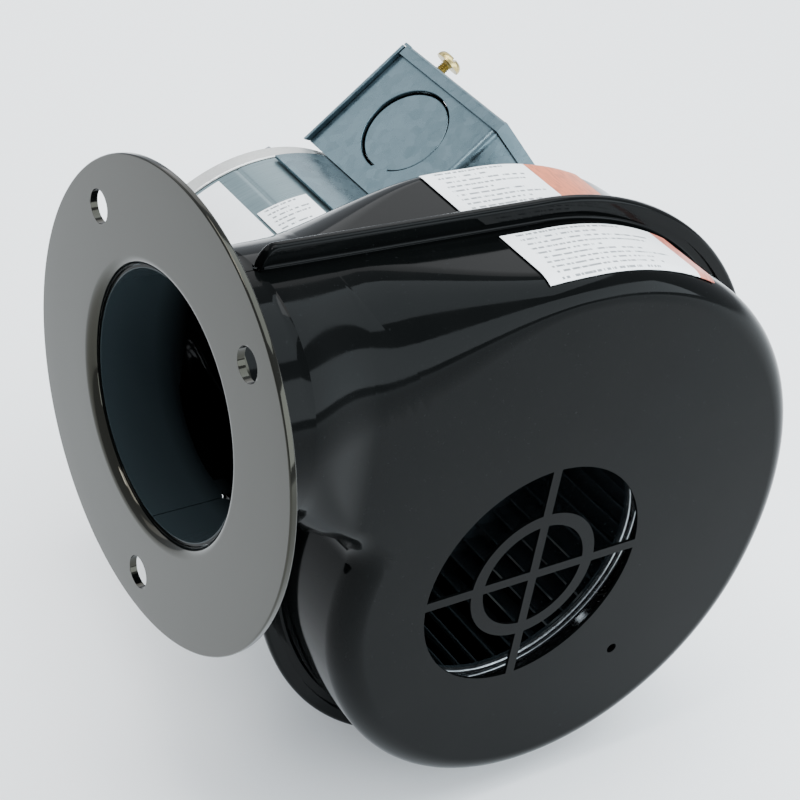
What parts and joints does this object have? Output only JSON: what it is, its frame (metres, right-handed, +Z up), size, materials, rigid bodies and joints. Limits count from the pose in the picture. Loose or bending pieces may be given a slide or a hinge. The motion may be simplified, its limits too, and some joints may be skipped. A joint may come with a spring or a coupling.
{
  "type": "combustion fan",
  "caption": "Centrifugal combustion fan: crimped scroll housing with stamped inlet guard, round outlet flange, squirrel-cage wheel and a cylindrical motor carrying a wiring box.",
  "frame": {"origin": "centre of the outlet flange's mounting face", "axes": "-X the way the air leaves through the outlet flange; +Y along the shaft from the inlet to the motor; +Z up"},
  "size_m": [0.2114, 0.1971, 0.216],
  "materials": {
    "black_enamel": "gloss black enamel on pressed steel",
    "motor_paint": "satin grey steel shell",
    "zinc": "galvanised sheet with a fine spangle",
    "aluminium": "satin",
    "steel": "zinc-plated or ground",
    "laminations": "stacked electrical steel",
    "copper": "varnished copper wire",
    "bronze": "sintered bronze",
    "brass": "yellow zinc-plated",
    "rubber": "matte",
    "label": "printed film",
    "black_lead": "insulated wire",
    "white_lead": "insulated wire",
    "green_screw": "green-dyed ground screw"
  },
  "bodies": {
    "housing": {"outlet_flange": "black_enamel", "front_housing_half": "black_enamel", "rear_housing_half": "black_enamel", "motor_shell": "motor_paint", "box_saddle": "zinc", "wiring_box": "zinc", "box_end_plate": "zinc", "box_cover": "zinc", "motor_front_shield": "aluminium", "motor_rear_shield": "aluminium", "through_bolt_1": "steel", "through_bolt_2": "steel", "through_bolt_3": "steel", "through_bolt_4": "steel", "through_bolt_nut_1": "steel", "through_bolt_nut_2": "steel", "through_bolt_nut_3": "steel", "through_bolt_nut_4": "steel", "stator_core": "laminations", "winding_front": "copper", "winding_rear": "copper", "bearing_front": "bronze", "bearing_rear": "bronze", "cover_screw": "brass", "lead_grommet": "rubber", "thermal_protector": "rubber", "front_half_label": "label", "rear_half_label": "label", "motor_rating_label": "label", "motor_wiring_label": "label", "lead_black": "black_lead", "lead_white": "white_lead", "ground_screw": "green_screw"},
    "rotor": {"wheel_back_plate": "black_enamel", "wheel_blade_strip": "black_enamel", "wheel_end_ring": "black_enamel", "wheel_hub": "aluminium", "hub_set_screw": "steel", "motor_shaft": "steel", "rotor_core": "laminations", "rotor_end_ring_front": "aluminium", "rotor_end_ring_rear": "aluminium", "thrust_washer_front": "bronze", "thrust_washer_rear": "bronze"}
  },
  "joints": [
    {"name": "wheel_spin", "type": "hinge", "parent": "housing", "child": "rotor", "pos_m": [0.1097, 0.08, -0.0646], "axis": [0, 1, 0], "continuous": true}
  ]
}
